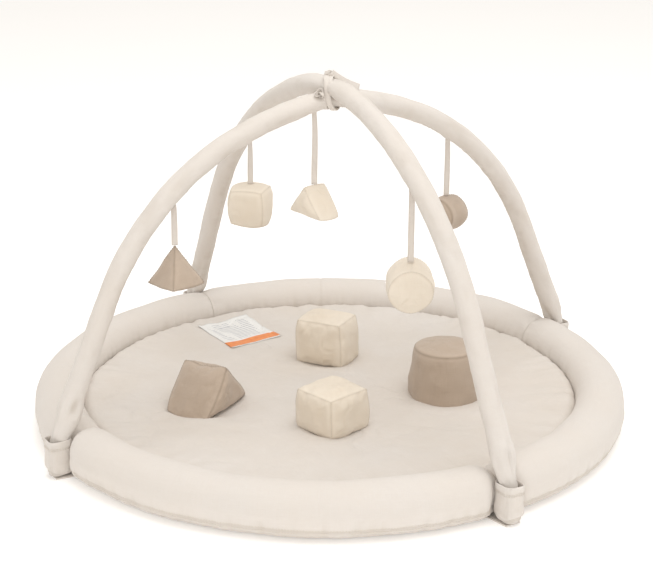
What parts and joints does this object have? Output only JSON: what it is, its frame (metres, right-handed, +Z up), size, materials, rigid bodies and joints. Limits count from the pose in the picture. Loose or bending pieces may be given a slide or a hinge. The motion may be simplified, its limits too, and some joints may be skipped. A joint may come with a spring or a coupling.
{
  "type": "activity play gym",
  "caption": "Round padded play mat with a bolster border, crossing padded arches in foot pockets, hanging sewn toys and loose soft blocks.",
  "frame": {"origin": "centre of the mat on the floor", "axes": "+Z up; the lower arch stands in the X-Z plane, the upper arch in the Y-Z plane"},
  "size_m": [0.993, 0.9928, 0.5691],
  "materials": {
    "base_cloth_cotton": "woven cotton, cream",
    "mat_cotton": "soft woven cotton, natural cream",
    "border_cotton": "soft woven cotton, natural cream",
    "wadding": "polyester wadding, loose fibre",
    "pocket_cotton": "doubled woven cotton, cream",
    "sleeve_cotton": "soft woven cotton, natural cream",
    "tie_cotton": "folded and sewn cotton tape",
    "foam_tube": "closed cell foam tube",
    "rod_fibreglass": "pultruded fibreglass rod, satin",
    "end_cap_plastic": "soft moulded cap, matt",
    "ribbon_cotton": "woven cotton tape",
    "toy_cream_cotton": "soft woven cotton, natural cream",
    "toy_taupe_cotton": "soft woven cotton, taupe",
    "label_tape": "thin printed-label satin, blank, with an orange band"
  },
  "bodies": {
    "mat": {"base_cloth": "base_cloth_cotton", "mat_cover": "mat_cotton", "mat_wadding": "wadding", "care_label": "label_tape", "border_back_cover": "border_cotton", "border_back_filling": "wadding", "border_left_cover": "border_cotton", "border_left_filling": "wadding", "border_front_cover": "border_cotton", "border_front_filling": "wadding", "border_right_cover": "border_cotton", "border_right_filling": "wadding", "pocket_right_back": "pocket_cotton", "pocket_left_back": "pocket_cotton", "pocket_left_front": "pocket_cotton", "pocket_right_front": "pocket_cotton"},
    "frame": {"lower_arch_rod": "rod_fibreglass", "lower_arch_foam": "foam_tube", "lower_arch_sleeve": "sleeve_cotton", "lower_arch_end_caps": "end_cap_plastic", "upper_arch_rod": "rod_fibreglass", "upper_arch_foam": "foam_tube", "upper_arch_sleeve": "sleeve_cotton", "upper_arch_end_caps": "end_cap_plastic", "crossing_tie_loop": "tie_cotton", "crossing_tie_knot": "tie_cotton", "crossing_tie_tail": "tie_cotton"},
    "pyramid_ribbon": {"pyramid_ribbon": "ribbon_cotton"},
    "pyramid_toy": {"pyramid_toy_cover": "toy_taupe_cotton", "pyramid_toy_stuffing": "wadding"},
    "cube_ribbon": {"cube_ribbon": "ribbon_cotton"},
    "cube_toy": {"cube_toy_cover": "toy_cream_cotton", "cube_toy_stuffing": "wadding"},
    "wedge_ribbon": {"wedge_ribbon": "ribbon_cotton"},
    "wedge_toy": {"wedge_toy_cover": "toy_cream_cotton", "wedge_toy_stuffing": "wadding"},
    "disc_ribbon": {"disc_ribbon": "ribbon_cotton"},
    "disc_toy": {"disc_toy_cover": "toy_taupe_cotton", "disc_toy_stuffing": "wadding"},
    "roller_ribbon": {"roller_ribbon": "ribbon_cotton"},
    "roller_toy": {"roller_toy_cover": "toy_cream_cotton", "roller_toy_stuffing": "wadding"},
    "rear_block": {"rear_block_cover": "toy_cream_cotton", "rear_block_stuffing": "wadding"},
    "front_block": {"front_block_cover": "toy_cream_cotton", "front_block_stuffing": "wadding"},
    "drum_block": {"drum_block_cover": "toy_taupe_cotton", "drum_block_stuffing": "wadding"},
    "wedge_block": {"wedge_block_cover": "toy_taupe_cotton", "wedge_block_stuffing": "wadding"}
  },
  "joints": [
    {"name": "frame_lift", "type": "slide", "parent": "mat", "child": "frame", "axis": [0, 0, 1], "range_m": [0, 0.09]},
    {"name": "pyramid_ribbon_swing", "type": "hinge", "parent": "frame", "child": "pyramid_ribbon", "pos_m": [-0.274, 0, 0.3924], "axis": [0, 1, 0], "range_deg": [-15, 15]},
    {"name": "pyramid_toy_swing", "type": "hinge", "parent": "pyramid_ribbon", "child": "pyramid_toy", "pos_m": [-0.274, 0, 0.3288], "axis": [1, 0, 0], "range_deg": [-35, 35]},
    {"name": "cube_ribbon_swing", "type": "hinge", "parent": "frame", "child": "cube_ribbon", "pos_m": [0, 0.255, 0.4094], "axis": [1, 0, 0], "range_deg": [-15, 15]},
    {"name": "cube_toy_swing", "type": "hinge", "parent": "cube_ribbon", "child": "cube_toy", "pos_m": [0, 0.255, 0.3248], "axis": [0, 1, 0], "range_deg": [-35, 35]},
    {"name": "wedge_ribbon_swing", "type": "hinge", "parent": "frame", "child": "wedge_ribbon", "pos_m": [-0.028, 0, 0.4961], "axis": [0, 1, 0], "range_deg": [-15, 15]},
    {"name": "wedge_toy_swing", "type": "hinge", "parent": "wedge_ribbon", "child": "wedge_toy", "pos_m": [-0.028, 0, 0.3878], "axis": [1, 0, 0], "range_deg": [-35, 35]},
    {"name": "disc_ribbon_swing", "type": "hinge", "parent": "frame", "child": "disc_ribbon", "pos_m": [0.228, 0, 0.428], "axis": [0, 1, 0], "range_deg": [-15, 15]},
    {"name": "disc_toy_swing", "type": "hinge", "parent": "disc_ribbon", "child": "disc_toy", "pos_m": [0.228, 0, 0.3308], "axis": [1, 0, 0], "range_deg": [-35, 35]},
    {"name": "roller_ribbon_swing", "type": "hinge", "parent": "frame", "child": "roller_ribbon", "pos_m": [0, -0.226, 0.4339], "axis": [1, 0, 0], "range_deg": [-15, 15]},
    {"name": "roller_toy_swing", "type": "hinge", "parent": "roller_ribbon", "child": "roller_toy", "pos_m": [0, -0.226, 0.3168], "axis": [0, 1, 0], "range_deg": [-35, 35]},
    {"name": "rear_block_lift", "type": "slide", "parent": "mat", "child": "rear_block", "axis": [0, 0, 1], "range_m": [0, 0.1]},
    {"name": "front_block_lift", "type": "slide", "parent": "mat", "child": "front_block", "axis": [0, 0, 1], "range_m": [0, 0.1]},
    {"name": "drum_block_lift", "type": "slide", "parent": "mat", "child": "drum_block", "axis": [0, 0, 1], "range_m": [0, 0.1]},
    {"name": "wedge_block_lift", "type": "slide", "parent": "mat", "child": "wedge_block", "axis": [0, 0, 1], "range_m": [0, 0.1]}
  ]
}
